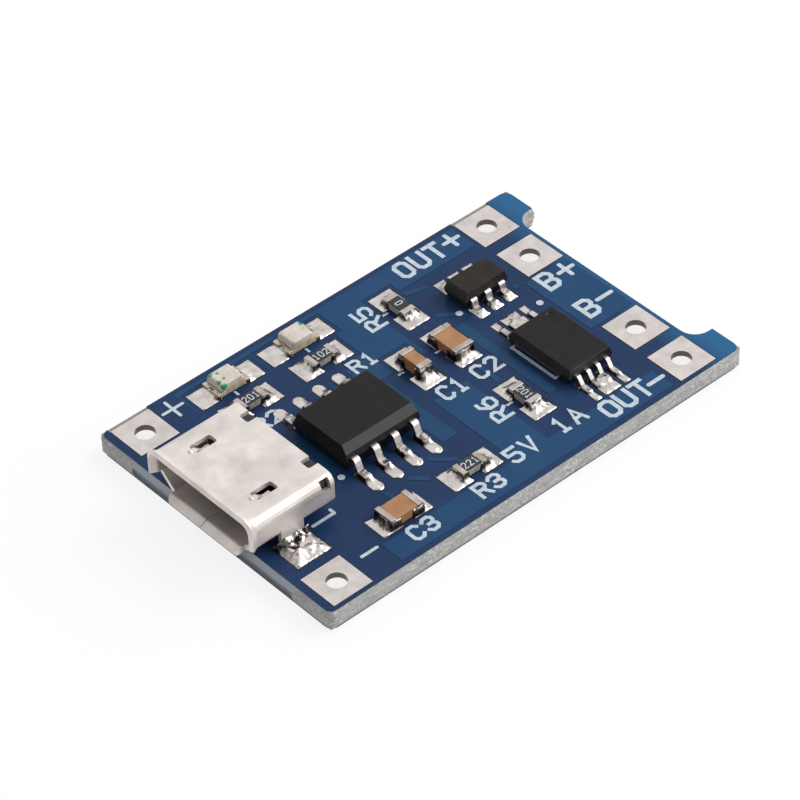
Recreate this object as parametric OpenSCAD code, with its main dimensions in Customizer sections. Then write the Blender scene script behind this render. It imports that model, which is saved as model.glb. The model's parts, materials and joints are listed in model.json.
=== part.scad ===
/* [Board] */
// Length of the board along X, at its faces
board_l = 27.2; // [26.4:0.1:32]
// Width of the board along Y, at its faces
board_w = 17.15; // [16.4:0.05:20]
// Thickness over the tinned lands of both faces
board_t = 1.2; // [0.8:0.05:2]
// Corner rounding of the board
corner_r = 0.45; // [0.1:0.05:0.6]
// Depth of the scored groove on each face, where the board was snapped from its panel
score_depth = 0.42; // [0.2:0.02:0.5]
// How far the snapped web stands out past the faces' edge
score_out = 0.16; // [0.05:0.01:0.3]
// How far the web is milled back under the socket
score_back = 0.09; // [0.02:0.01:0.15]
// Width of the milled stretch under the socket
milled_w = 11.9; // [9:0.1:13]
// Depth of the notch in the output end
notch_depth = 1.25; // [0.5:0.05:2]
// Width of the notch in the output end
notch_w = 13.2; // [8:0.1:14]
// Corner radius of the notch
notch_r = 1; // [0.3:0.05:1.5]

/* [Layers] */
// Thickness of the copper foil
copper_t = 0.036; // [0.03:0.002:0.05]
// Thickness of the lacquer over copper
mask_t = 0.024; // [0.015:0.001:0.03]
// Thickness of the lacquer over bare laminate
mask_bare_t = 0.044; // [0.038:0.002:0.05]
// Gap between a land and the lacquer around it
mask_gap = 0.04; // [0.02:0.01:0.1]
// Shift of the lacquer opening beside the two positive corner lands
mask_slip = 0.2; // [0.05:0.01:0.3]
// Gap between the copper fields and any land
pour_gap = 0.25; // [0.15:0.01:0.4]
// Gap between the copper fields and the board's edge
pour_inset = 0.3; // [0.2:0.05:0.5]
// Width of a copper track
track_w = 0.3; // [0.2:0.01:0.4]
// Thickness of the white print
ink_t = 0.02; // [0.01:0.005:0.04]
// Stroke width of the white print
ink_w = 0.24; // [0.15:0.01:0.3]
// Stroke width of the print's thin lines
ink_thin = 0.18; // [0.1:0.01:0.2]
// Radius of a through-plated link between the two foils
via_r = 0.2; // [0.15:0.01:0.3]
// Wall of a link's plating
via_wall = 0.05; // [0.03:0.005:0.08]

/* [Wire lands] */
// Side of each square land
land = 2.42; // [2:0.02:2.6]
// Radius of the wire hole
wire_r = 0.54; // [0.4:0.01:0.7]
// Wall of the tinned barrel that lines a wire hole
barrel = 0.18; // [0.16:0.01:0.25]
// Centre of the input lands from the input end
in_inset = 1.66; // [1.4:0.01:2]
// Centre of the output lands from the output end
out_inset = 2.7; // [2.5:0.01:3.2]
// Edge of the corner lands from the long sides
side_gap = 0.23; // [0.1:0.01:0.4]
// Gap between an output land and its battery land
battery_gap = 0.83; // [0.3:0.02:1.2]
// Reach of a plus mark's arms from its centre
plus_reach = 0.48; // [0.3:0.01:0.6]
// Share of the room beside the negative input land that its minus mark takes
bar_share = 0.41; // [0.2:0.01:0.5]
// Length of the output end's minus marks
minus_l = 0.96; // [0.6:0.05:1.4]

/* [Socket] */
// Width of the socket's shell
shell_w = 7.5; // [7:0.05:8]
// Width of the shell's floor
shell_floor_w = 5.5; // [5:0.05:6]
// Height of the shell
shell_h = 2.52; // [2.3:0.02:2.9]
// Depth of the shell without its flared mouth
shell_l = 4.75; // [4:0.05:5.5]
// Gap under the shell
shell_lift = 0.08; // [0.04:0.01:0.2]
// Sheet thickness of the shell
sheet = 0.25; // [0.15:0.01:0.3]
// Height at which the shell's sides turn inward
shell_kink = 1.05; // [0.8:0.05:1.4]
// Outer bend radius of the shell's top corners
shell_r = 0.55; // [0.35:0.05:0.8]
// Outer bend radius of the shell's lower corners
shell_low_r = 0.4; // [0.2:0.05:0.5]
// Length of the flared mouth
flare_l = 0.55; // [0.3:0.05:0.8]
// How far the mouth's rim turns outward
flare_out = 0.2; // [0.05:0.01:0.3]
// Bend radius of the flare
flare_r = 0.3; // [0.1:0.05:0.5]
// Corner radius of the lower lip and of the rim's ends
lip_r = 0.4; // [0.1:0.05:0.6]
// How far the mouth stands out past the board
overhang = 0.7; // [0.3:0.05:1.2]
// Seam between the two halves of the folded floor
seam = 0.04; // [0.02:0.01:0.1]
// Spring window in the shell's top: length, width
window = [1.3, 0.62]; // [0.3:0.01:2]
// Depth of the spring windows behind the mouth's flare
window_back = 1; // [0.6:0.05:1.5]
// Offset of the spring windows and back notches from the middle
window_y = 2.25; // [1.9:0.01:2.6]
// Notch in the shell's back edge: length, width
back_notch = [0.58, 0.66]; // [0.3:0.01:1]
// Window in the shell's top bend: length, height, drop below the top
side_window = [0.55, 0.6, 0.1]; // [0.05:0.01:0.8]
// Corner radius of the windows and notches
cut_r = 0.12; // [0.05:0.01:0.2]
// How far the rim's section reaches back into the shell, and its straight share of the flare
rim_root = 0.1; // [0.05:0.01:0.3]
rim_straight = 0.3; // [0.1:0.05:0.5]
// Height of the rim's lower corner over the bend of the sides
rim_clear = 0.05; // [0.02:0.01:0.2]
// Bump at the front end of a spring window: radius, height over the top
bump = [0.16, 0.07]; // [0.03:0.01:0.3]
// Spring finger: width, thickness, drop
finger = [0.34, 0.14, 0.34]; // [0.1:0.01:0.5]
// Depth of the shell's leg behind the flare
leg_back = 2.05; // [1.8:0.05:2.6]
// Length of the shell's leg along X
leg_l = 1.4; // [0.8:0.05:1.6]
// Foot of a leg, from the shell's side outward
leg_foot = 0.85; // [0.5:0.05:1.1]
// Land of a leg: length, width
leg_land = [2.1, 2]; // [1.6:0.05:2.4]
// Length of the housing's block inside the shell
block_l = 1.9; // [1.5:0.05:2.4]
// How far the block stands out behind the shell
block_out = 0.1; // [0.05:0.05:0.5]
// Gap between the block and the shell
block_fit = 0.02; // [0.01:0.005:0.05]
// Width of the socket's tongue
tongue_w = 3.9; // [3.5:0.05:4.2]
// Thickness of the socket's tongue
tongue_t = 0.55; // [0.4:0.01:0.6]
// Gap between the tongue and the shell's top
tongue_gap = 0.65; // [0.4:0.01:0.8]
// Depth of the tongue's end behind the mouth
tongue_in = 0.85; // [0.5:0.05:1.2]
// Spacing of the five contacts
contact_pitch = 0.65; // [0.6:0.01:0.7]
// Width of a contact
contact_w = 0.26; // [0.2:0.01:0.35]
// Thickness of a contact
contact_t = 0.12; // [0.08:0.01:0.15]
// Length of a contact's tail on the board
contact_tail = 0.75; // [0.5:0.05:1]
// Land of a tail: length, width
tail_land = [1.1, 0.4]; // [0.3:0.01:1.4]

/* [Chips] */
// Charger chip: length, width, height
charger = [4.86, 3.9, 1.47]; // [1:0.01:6]
// Charger chip's leads: spacing, width, thickness, span over the feet, length of a foot
charger_pins = [1.27, 0.42, 0.2, 6, 0.6]; // [0.1:0.01:7]
// Charger chip's lands: width, length, reach from the chip's middle
charger_land = [0.64, 1.9, 3.96]; // [0.3:0.01:4.4]
// Protector chip: length, width, height
protector = [2.9, 1.66, 1.08]; // [1:0.01:6]
// Protector chip's leads: spacing, width, thickness, span over the feet, length of a foot
protector_pins = [0.95, 0.4, 0.13, 2.8, 0.36]; // [0.1:0.01:7]
// Protector chip's lands: width, length, reach from the chip's middle
protector_land = [0.68, 1.05, 1.8]; // [0.3:0.01:4.4]
// Switch chip: length, width, height
switch = [3, 4.4, 0.98]; // [1:0.01:6]
// Switch chip's leads: spacing, width, thickness, span over the feet, length of a foot
switch_pins = [0.65, 0.26, 0.12, 6.4, 0.55]; // [0.1:0.01:7]
// Switch chip's lands: width, length, reach from the chip's middle
switch_land = [0.4, 1.6, 3.87]; // [0.3:0.01:4.4]
// Draft of a chip's sides, from the parting line to the top
draft = 0.16; // [0.05:0.01:0.25]
// Gap under a chip's body
standoff = 0.1; // [0.05:0.01:0.2]
// Share of a chip's height at which its leads leave
exit_share = 0.5; // [0.4:0.01:0.6]
// Bevel along the charger chip's first long edge
chip_bevel = 0.3; // [0.1:0.01:0.4]
// Slight bevel of the other two chips
slight_bevel = 0.02; // [0.01:0.01:0.05]
// Round mark of the switch chip: radius, depth, distance from the two sides
chip_mark = [0.27, 0.04, 0.65]; // [0.02:0.01:0.8]

/* [Chip resistors, capacitors and lamps] */
// Small chip: length, width
small_chip = [1.6, 0.8]; // [0.6:0.01:2.4]
// Large chip: length, width
large_chip = [2, 1.25]; // [0.6:0.01:2.4]
// Height of a resistor
resistor_h = 0.45; // [0.3:0.01:0.6]
// Height of the small capacitor
small_cap_h = 0.8; // [0.5:0.01:0.9]
// Height of a large capacitor
large_cap_h = 0.62; // [0.5:0.01:1.2]
// Length of the metal ends
cap_end = 0.3; // [0.2:0.01:0.4]
// Thickness of the metal ends
end_t = 0.03; // [0.02:0.005:0.05]
// Thickness of the dark glaze on a resistor
glaze_t = 0.05; // [0.03:0.005:0.08]
// Gap between the glaze and the metal ends
glaze_gap = 0.03; // [0.02:0.005:0.06]
// Height of a lamp's base
lamp_base_h = 0.3; // [0.2:0.01:0.4]
// Length of the metal ends of a lamp
lamp_end = 0.25; // [0.25:0.01:0.45]
// Radius of the half-round bites in a lamp's ends
bite_r = 0.22; // [0.15:0.01:0.24]
// Height of a lamp's lens above its base
lens_h = 0.42; // [0.3:0.01:0.6]
// Slope of a lens: at its ends, at its sides
lens_slope = [0.1, 0.03]; // [0.02:0.01:0.15]
// Overall length over a chip's two lands
lands_l = 3.14; // [2.9:0.02:3.6]
// Overall length over a lamp's two lands
lamp_lands_l = 4.04; // [3.6:0.02:4.4]
// Length of each land
land_l = 1.22; // [0.8:0.02:1.4]
// Width of each land
land_w = 1.46; // [1.3:0.02:1.6]
// Width of a lamp's lands
lamp_land_w = 1.38; // [1.3:0.02:1.6]

/* [Solder] */
// Thickness of the tinned film on a land
film = 0.03; // [0.02:0.005:0.05]
// Bare rim left around the film
film_rim = 0.05; // [0.02:0.01:0.1]
// Share of a part's end that the solder climbs
climb = 0.8; // [0.5:0.05:0.95]
// Share of a lead's thickness that the solder climbs
toe_climb = 0.85; // [0.5:0.05:0.95]
// Height of the solder over a leg's foot
mound_h = 0.8; // [0.4:0.05:1]
// How hollow a solder slope is
hollow = 1.8; // [1:0.1:2.5]

/* [Hidden] */
$fn = 32;
eps = 0.01;
// Overlap of a cutting tool past what it cuts
past = 1;
layer_t = copper_t + mask_t;
half_l = board_l / 2;
half_w = board_w / 2;
core_t = board_t - 2 * layer_t;

// Leads on each side of a chip
charger_count = 4;
protector_count = 3;
switch_count = 4;

// Wire lands
in_x = -half_l + in_inset;
out_x = half_l - out_inset;
corner_y = half_w - side_gap - land / 2;
battery_y = corner_y - land - battery_gap;
in_plus = [in_x, corner_y];
in_minus = [in_x, -corner_y];
out_plus = [out_x, corner_y];
out_minus = [out_x, -corner_y];
b_plus = [out_x, battery_y];
b_minus = [out_x, -battery_y];
WIRE_LANDS = [in_plus, in_minus, out_plus, out_minus, b_plus, b_minus];
// Lands whose lacquer opening slipped towards +Y
SLIPPED = [in_plus, out_plus];

// Socket: x from the mouth's edge, heights from the board's top
mouth_x = -half_l - overhang;
tube_x = mouth_x + flare_l;
shell_back = tube_x + shell_l;
shell_z = board_t + shell_lift;
shell_top = shell_z + shell_h;
kink_z = board_t + shell_kink;
block_x = shell_back - block_l;
block_back = shell_back + block_out;
leg_x = tube_x + leg_back;
leg_land_y = shell_w / 2 + leg_foot - 0.3;
tongue_z = shell_top - sheet - tongue_gap - tongue_t;
contact_z = tongue_z - contact_t / 2;
tail_x = block_back + contact_t + contact_tail / 2;

function total(v, n) = n <= 0 ? 0 : v[n - 1] + total(v, n - 1);

// Centre of item i in a row of widths from start to end, where the free length
// is shared out in the proportion of the gaps, one ahead of each item and one after the last
function placed(start, end, widths, gaps, i) =
    let (free = end - start - total(widths, len(widths)))
    start + total(widths, i) + widths[i] / 2 + free * total(gaps, i + 1) / total(gaps, len(gaps));

// Row along the middle: charger chip, small capacitor, column of three chips, protector chip
middle_widths = [charger[0], land_w, land_w, protector[0]];
middle_gaps = [1.05, 1.89, 0.94, 1.56, 1.2];
middle_start = tail_x + tail_land[0] / 2;
middle_end = out_x - land / 2;
charger_x = placed(middle_start, middle_end, middle_widths, middle_gaps, 0);
c1_x = placed(middle_start, middle_end, middle_widths, middle_gaps, 1);
column_x = placed(middle_start, middle_end, middle_widths, middle_gaps, 2);
protector_x = placed(middle_start, middle_end, middle_widths, middle_gaps, 3);

// Row of the two lamps, from the input land to the column
lamp_widths = [lamp_lands_l, lamp_lands_l];
lamp_gaps = [1.94, 0.59, 2.75];
lamp_start = in_x + land / 2;
lamp_end_x = column_x - land_w / 2;
led2_x = placed(lamp_start, lamp_end_x, lamp_widths, lamp_gaps, 0);
led1_x = placed(lamp_start, lamp_end_x, lamp_widths, lamp_gaps, 1);

// From the charger chip's lands out to the two long sides
far_widths = [land_w, lamp_land_w];
far_gaps = [0.45, 0.5, 0.83];
r12_y = placed(charger_land[2], half_w, far_widths, far_gaps, 0);
lamp_y = placed(charger_land[2], half_w, far_widths, far_gaps, 1);
near_gaps = [1.14, 2.02];
near_row_y = -placed(charger_land[2], half_w, [land_w], near_gaps, 0);

// Across the board: the column of three, and the switch and protector chips
column_widths = [lands_l, lands_l, lands_l];
column_gaps = [3.07, 2.23, 0.78, 1.65];
r6_y = placed(-half_w, half_w, column_widths, column_gaps, 0);
c2_y = placed(-half_w, half_w, column_widths, column_gaps, 1);
r5_y = placed(-half_w, half_w, column_widths, column_gaps, 2);
chip_widths = [2 * switch_land[2], 2 * protector_land[2]];
chip_gaps = [2.04, 0.73, 3.04];
switch_y = placed(-half_w, half_w, chip_widths, chip_gaps, 0);
protector_y = placed(-half_w, half_w, chip_widths, chip_gaps, 1);
// How far the switch chip lies nearer to the column than the protector chip
switch_shift = 0.17;

// Places: centre, turn about Z
charger_at = [charger_x, 0];
protector_at = [protector_x, protector_y];
switch_at = [protector_x - switch_shift, switch_y];
r1 = [[led1_x, r12_y], 0];
r2 = [[led2_x, r12_y], 0];
r3 = [[led1_x, near_row_y], 0];
r5 = [[column_x, r5_y], 90];
r6 = [[column_x, r6_y], 90];
c1 = [[c1_x, c2_y], 90];
c2 = [[column_x, c2_y], 90];
c3 = [[led2_x, near_row_y], 0];
led1 = [[led1_x, lamp_y], 0];
led2 = [[led2_x, lamp_y], 180];
RESISTORS = [r1, r2, r3, r5, r6];
LAMPS = [led1, led2];
SMALL_CAPS = [c1];
LARGE_CAPS = [c2, c3];

// Copper fields of the top face
near_y = -half_w + pour_inset;
far_y = half_w - pour_inset;
near_in = near_row_y - land_w / 2 - pour_gap;
far_in = lamp_y - lamp_land_w / 2 + 0.05;
belly_x = charger_x + charger[0] / 2 + 1.01;
belly_y = 1.6;
lane = 0.7;
middle_x0 = belly_x + lane;
middle_x1 = column_x - land_w / 2 - 0.45;
output_x0 = out_x - land / 2 - 0.5;
output_x1 = out_x + land / 2 - 0.05;
output_y = battery_y - land / 2 - pour_gap;

// Links between the foils
VIAS = [protector_at + [1.87, -1.14], [column_x + 1.25, -0.6], [c1_x, -2.6],
    [belly_x - 0.4, -2.2], [belly_x - 0.4, 2.6], [shell_back + 0.6, -2.4],
    [column_x + 1.7, near_y + 0.6], [c1_x, far_y - 0.6], [out_x, 0.2]];

function unit(v) = v / norm(v);
function side(v) = [-v[1], v[0]];

// Points of one rounded corner q between its neighbours p and s
function bend(p, q, s, r, n) =
    let (u = unit(p - q), v = unit(s - q), c = min(1, max(-1, u * v)), half = acos(c) / 2)
    (r <= 0 || half > 89.5) ? [q] :
    let (o = q + unit(u + v) * r / sin(half),
         a = q + u * r / tan(half) - o,
         sweep = 180 - 2 * half,
         turn = (a[0] * (q - o)[1] - a[1] * (q - o)[0]) > 0 ? 1 : -1,
         start = atan2(a[1], a[0]))
    [for (i = [0:n]) o + r * [cos(start + turn * sweep * i / n), sin(start + turn * sweep * i / n)]];

// A closed outline with corner radii
function rounded(pts, radii, n = 6) =
    let (m = len(pts))
    [for (i = [0:m - 1]) for (q = bend(pts[(i + m - 1) % m], pts[i], pts[(i + 1) % m], radii[i], n)) q];

// An open path with one bend radius
function bent(pts, r, n = 5) =
    let (m = len(pts))
    [for (i = [0:m - 1]) for (q = (i == 0 || i == m - 1) ? [pts[i]]
        : bend(pts[i - 1], pts[i], pts[i + 1], r, n)) q];

// Normal of an open path at point i
function path_normal(pts, i) =
    let (m = len(pts), a = pts[max(0, i - 1)], b = pts[min(m - 1, i + 1)])
    unit(side(b - a));

// Closed outline of an open path drawn t thick
function ribbon(pts, t) =
    let (m = len(pts))
    concat([for (i = [0:m - 1]) pts[i] + path_normal(pts, i) * t / 2],
           [for (i = [m - 1:-1:0]) pts[i] - path_normal(pts, i) * t / 2]);

// Points of a hollow slope from p, at its low end, up to q
function slope(p, q, n = 7) =
    [for (i = [0:n]) let (a = i / n) [p[0] + (q[0] - p[0]) * a, p[1] + (q[1] - p[1]) * pow(a, hollow)]];

// A flat outline in X and Z, given depth along Y about the middle
module along_y(w) {
    rotate([90, 0, 0])
        linear_extrude(w, center = true)
            children();
}

// A flat outline in Y and Z, given length along X from x = 0
module along_x(l) {
    rotate([90, 0, 90])
        linear_extrude(l)
            children();
}

module at(p) {
    translate([p[0][0], p[0][1], board_t])
        rotate([0, 0, p[1]])
            children();
}

module on_board(p) {
    translate([p[0], p[1], board_t]) children();
}

module both_ends() {
    children();
    rotate([0, 0, 180]) children();
}

// A rectangle between two opposite corners
module field(p, q) {
    translate(p) square(q - p);
}

module board_outline(grow) {
    l = half_l + grow;
    w = half_w + grow;
    inner = half_l - notch_depth;
    difference() {
        polygon(rounded([[-l, -w], [l, -w], [l, w], [-l, w]], [for (i = [0:3]) corner_r + grow]));
        polygon(rounded([[inner, -notch_w / 2], [l + past, -notch_w / 2],
            [l + past, notch_w / 2], [inner, notch_w / 2]], [notch_r, 0, 0, notch_r]));
    }
}

// Cross-section of the board's two edges, half is half the board's width there
function edge_section(half) =
    let (cut = score_depth - layer_t, top = core_t)
    [[-half, 0], [half, 0], [half + score_out, cut], [half + score_out, top - cut],
     [half, top], [-half, top], [-half - score_out, top - cut], [-half - score_out, cut]];

module holes(places, r) {
    for (p = places)
        translate([p[0], p[1], -eps])
            cylinder(h = board_t + 2 * eps, r = r);
}

module board_core() {
    long = 2 * (half_l + score_out + past);
    wide = 2 * (half_w + score_out + past);
    color("#9d9b94")
        difference() {
            translate([0, 0, layer_t])
                intersection() {
                    linear_extrude(core_t) board_outline(score_out);
                    along_y(wide) polygon(edge_section(half_l));
                    translate([-long / 2, 0, 0]) along_x(long) polygon(edge_section(half_w));
                }
            holes(WIRE_LANDS, wire_r + barrel);
            holes(VIAS, via_r);
            // Milled stretch of the input end
            translate([-half_l - score_out - past, -milled_w / 2, 0])
                cube([past + score_back, milled_w, board_t - score_depth]);
        }
}

module land_square(p, grow) {
    translate(p) square(land + 2 * grow, center = true);
}

module pair_plan(p, span, wide, grow) {
    translate(p[0])
        rotate(p[1])
            for (s = [-1, 1])
                translate([s * (span - land_l) / 2, 0])
                    square([land_l + 2 * grow, wide + 2 * grow], center = true);
}

// Lands of a chip's two rows, with round ends if oval
module row_plan(c, pitch, count, plan, grow, oval) {
    w = plan[0] + 2 * grow;
    l = plan[1] + 2 * grow;
    for (s = [-1, 1])
        for (i = [0:count - 1])
            translate([c[0] + (i - (count - 1) / 2) * pitch, c[1] + s * (plan[2] - plan[1] / 2)])
                if (oval) {
                    square([w, l - w], center = true);
                    for (e = [-1, 1])
                        translate([0, e * (l - w) / 2]) circle(d = w);
                } else {
                    square([w, l], center = true);
                }
}

// The switch chip's two middle lands run together on each side
module joined_plan(grow) {
    for (s = [-1, 1])
        translate(switch_at + [0, s * (switch_land[2] - switch_land[1] / 2)])
            square([switch_pins[0] + 2 * grow, switch_land[1] + 2 * grow], center = true);
}

// Component lands in plan, grown by a margin
module component_plan(grow) {
    for (p = concat(RESISTORS, SMALL_CAPS, LARGE_CAPS)) pair_plan(p, lands_l, land_w, grow);
    for (p = LAMPS) pair_plan(p, lamp_lands_l, lamp_land_w, grow);
    row_plan(charger_at, charger_pins[0], charger_count, charger_land, grow, true);
    row_plan(protector_at, protector_pins[0], protector_count, protector_land, grow, false);
    row_plan(switch_at, switch_pins[0], switch_count, switch_land, grow, false);
    joined_plan(grow);
    for (s = [-1, 1])
        translate([leg_x, s * leg_land_y])
            square([leg_land[0] + 2 * grow, leg_land[1] + 2 * grow], center = true);
    for (i = [-2:2])
        translate([tail_x, i * contact_pitch])
            square([tail_land[0] + 2 * grow, tail_land[1] + 2 * grow], center = true);
}

// Where a chip's land lies, for a two-ended chip p and its end s
function end_of(p, s) = p[0] + s * (lands_l - land_l) / 2 * [cos(p[1]), sin(p[1])];

// Where a lead's land lies, on row s of a chip
function lead_of(c, pitch, count, plan, i, s) =
    c + [(i - (count - 1) / 2) * pitch, s * (plan[2] - plan[1] / 2)];

// A track that leaves p along Y and comes to q on a slant
function dogleg(p, q) =
    let (run = abs(q[0] - p[0]), rise = abs(q[1] - p[1]), up = q[1] > p[1] ? 1 : -1)
    run < eps || run > rise ? [p, q] : [p, [p[0], q[1] - up * run], q];

charger_near_1 = lead_of(charger_at, charger_pins[0], charger_count, charger_land, 1, -1);
charger_near_2 = lead_of(charger_at, charger_pins[0], charger_count, charger_land, 2, -1);
charger_near_0 = lead_of(charger_at, charger_pins[0], charger_count, charger_land, 0, -1);
protector_near_0 = lead_of(protector_at, protector_pins[0], protector_count, protector_land, 0, -1);
protector_near_2 = lead_of(protector_at, protector_pins[0], protector_count, protector_land, 2, -1);
protector_far_2 = lead_of(protector_at, protector_pins[0], protector_count, protector_land, 2, 1);
TRACKS = [dogleg(charger_near_2, end_of(r3, 1)),
    dogleg(charger_near_1, end_of(r3, -1)),
    dogleg(charger_near_0, end_of(c3, 1)),
    dogleg(protector_far_2, end_of(r5, 1)),
    dogleg(protector_near_0, end_of(r5, -1)),
    dogleg(protector_near_2, VIAS[0]),
    dogleg(end_of(c2, 1), end_of(r5, -1)),
    dogleg(end_of(r6, 1), end_of(c2, -1))];

// Copper fields of the top face
module pour_plan() {
    // Along the near side
    field([shell_back + 0.2, near_y], [output_x0, near_in]);
    // Middle, up from the near side
    field([middle_x0, near_y], [middle_x1, c2_y - 2.4]);
    // Under the charger chip, with its flank
    field([charger_x - charger[0] / 2 - lane, -belly_y], [belly_x, belly_y]);
    field([belly_x - 1.2, -belly_y - 1.9], [belly_x, belly_y]);
    // Along the far side, down to the small capacitor
    field([shell_back - 0.2, far_in], [output_x0 + 0.3, far_y]);
    field([belly_x, belly_y + 0.35], [middle_x1, far_in + eps]);
    field([charger_x + lane, belly_y + 0.35], [belly_x + eps, r12_y - land_w]);
    // Between the battery lands
    field([output_x0, -output_y], [output_x1, output_y]);
    // Up between the column and the two chips
    field([column_x + 1.1, r6_y - land_l / 2], [column_x + 1.7, protector_y - 1.4]);
    for (t = TRACKS) polygon(ribbon(t, track_w));
}

// Where the copper fields lie under lacquer
module covered_copper() {
    difference() {
        pour_plan();
        component_plan(pour_gap);
        for (p = WIRE_LANDS) land_square(p, pour_gap);
    }
}

module copper_top() {
    color("#b87a4a")
        difference() {
            translate([0, 0, board_t - layer_t]) linear_extrude(copper_t) covered_copper();
            holes(VIAS, via_r);
        }
}

module bottom_plan() {
    difference() {
        field([-half_l + 2 * pour_inset, near_y], [half_l - notch_depth - 2 * pour_inset, far_y]);
        for (p = WIRE_LANDS) land_square(p, pour_gap);
    }
}

module copper_bottom() {
    color("#b87a4a")
        difference() {
            translate([0, 0, mask_t]) linear_extrude(copper_t) bottom_plan();
            holes(VIAS, via_r);
        }
}

module mask_openings() {
    component_plan(mask_gap);
    for (p = WIRE_LANDS) land_square(p, mask_gap);
    for (p = SLIPPED) translate([0, mask_slip]) land_square(p, mask_gap);
}

module mask_top() {
    color("#2f5380")
        translate([0, 0, board_t - layer_t]) {
            linear_extrude(mask_bare_t)
                difference() {
                    board_outline(0);
                    covered_copper();
                    mask_openings();
                }
            translate([0, 0, copper_t])
                linear_extrude(mask_t) covered_copper();
        }
}

module mask_bottom() {
    color("#2f5380") {
        linear_extrude(mask_t)
            difference() {
                board_outline(0);
                for (p = WIRE_LANDS) land_square(p, mask_gap);
            }
        translate([0, 0, mask_t])
            linear_extrude(copper_t)
                difference() {
                    board_outline(0);
                    bottom_plan();
                    for (p = WIRE_LANDS) land_square(p, mask_gap);
                }
    }
}

module component_lands() {
    color("#d6cfca")
        translate([0, 0, board_t - layer_t]) linear_extrude(layer_t) component_plan(0);
}

module vias() {
    color("#c08a5a")
        for (p = VIAS)
            translate([p[0], p[1], layer_t])
                difference() {
                    cylinder(h = core_t, r = via_r);
                    translate([0, 0, -eps]) cylinder(h = core_t + 2 * eps, r = via_r - via_wall);
                }
}

// A wire land: a square on each face, joined by the barrel of the hole
module wire_pad(p) {
    color("#dad2cf")
        translate(p)
            difference() {
                union() {
                    linear_extrude(layer_t) square(land, center = true);
                    translate([0, 0, board_t - layer_t]) linear_extrude(layer_t) square(land, center = true);
                    cylinder(h = board_t, r = wire_r + barrel);
                }
                translate([0, 0, -eps]) cylinder(h = board_t + 2 * eps, r = wire_r);
            }
}

module in_plus_pad() { wire_pad(in_plus); }
module in_minus_pad() { wire_pad(in_minus); }
module out_plus_pad() { wire_pad(out_plus); }
module out_minus_pad() { wire_pad(out_minus); }
module b_plus_pad() { wire_pad(b_plus); }
module b_minus_pad() { wire_pad(b_minus); }

// A print stroke from p to q with round ends
module stroke(p, q, w = ink_w) {
    d = q - p;
    translate(p)
        rotate(atan2(d[1], d[0])) {
            translate([0, -w / 2]) square([norm(d), w]);
            circle(d = w);
            translate([norm(d), 0]) circle(d = w);
        }
}

module plus_mark(c, reach, w = ink_w) {
    stroke(c - [reach, 0], c + [reach, 0], w);
    stroke(c - [0, reach], c + [0, reach], w);
}

module minus_mark(c, l, w = ink_w) {
    stroke(c - [l / 2, 0], c + [l / 2, 0], w);
}

// Round mark beside the first lead of a chip
module dot(c) {
    translate(c) circle(d = ink_w * 1.6);
}

module silkscreen() {
    shell_corner = [shell_back, -shell_w / 2 + 0.15];
    color("#dfe6ea")
        translate([0, 0, board_t])
            linear_extrude(ink_t) {
                plus_mark(in_plus + [land / 2 + 0.84, 0.36], plus_reach * 1.28, ink_thin);
                minus_mark([(in_x + land / 2 + led2_x - lands_l / 2) / 2, in_minus[1] + 0.36],
                    (led2_x - lands_l / 2 - in_x - land / 2) * bar_share, ink_thin);
                plus_mark(out_plus + [-land / 2 - 0.92, 0.43], plus_reach);
                minus_mark(out_minus + [-land / 2 - 0.9, -0.32], minus_l);
                plus_mark(b_plus + [0.54, -land / 2 - 0.88], plus_reach);
                minus_mark(b_minus + [0.52, land / 2 + 1.62], minus_l);
                stroke([leg_x + leg_land[0] / 2 + 0.3, shell_corner[1]], shell_corner, ink_thin);
                stroke(shell_corner, shell_corner + [0, 0.3], ink_thin);
                stroke(switch_at + [-switch[0] / 2, 1.92], switch_at + [-switch[0] / 2, -1.24], ink_thin);
                dot(charger_at + [-charger[0] / 2 - 0.34, -1.96]);
                dot(protector_at + [-protector[0] / 2 - 0.36, -0.72]);
                dot(switch_at + [switch[0] / 2 + 0.36, 3.46]);
            }
}

// The shell's outline, looking along X, drawn in by d
function socket_outline(d) =
    let (a = shell_w / 2 - d, b = shell_floor_w / 2 - d * 0.6, k = kink_z + d * 0.3,
         r = max(eps, shell_r - d), s = max(eps, shell_low_r - d))
    rounded([[-a, shell_top - d], [-a, k], [-b, shell_z + d], [b, shell_z + d], [a, k], [a, shell_top - d]],
            [r, s, s, s, s, r], 5);

// Section of the rim along X at a distance from its middle, turned outward
function rim_path(distance, out) =
    ribbon(bent([[tube_x + rim_root, distance], [tube_x - flare_l * rim_straight, distance],
        [mouth_x, distance + out * flare_out]], flare_r), sheet);

module upper_rim() {
    along_y(shell_w - 2 * shell_r) polygon(rim_path(shell_top - sheet / 2, 1));
}

// Quarter of a trumpet that carries the rim round a top corner
module corner_rim() {
    translate([0, shell_w / 2 - shell_r, shell_top - shell_r])
        rotate([0, 90, 0])
            rotate([0, 0, 90])
                rotate_extrude(angle = 90)
                    polygon([for (p = rim_path(shell_r - sheet / 2, 1)) [p[1], p[0]]]);
}

// A side of the rim, round at its lower front corner
module side_rim() {
    low = kink_z + rim_clear;
    high = shell_top - shell_r;
    intersection() {
        translate([0, 0, low])
            linear_extrude(high - low) polygon(rim_path(shell_w / 2 - sheet / 2, 1));
        along_y(2 * shell_w)
            polygon(rounded([[mouth_x - past, high], [mouth_x - sheet / 2, low],
                [tube_x + 2 * rim_root, low], [tube_x + 2 * rim_root, high]], [0, lip_r, 0, 0]));
    }
}

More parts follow.
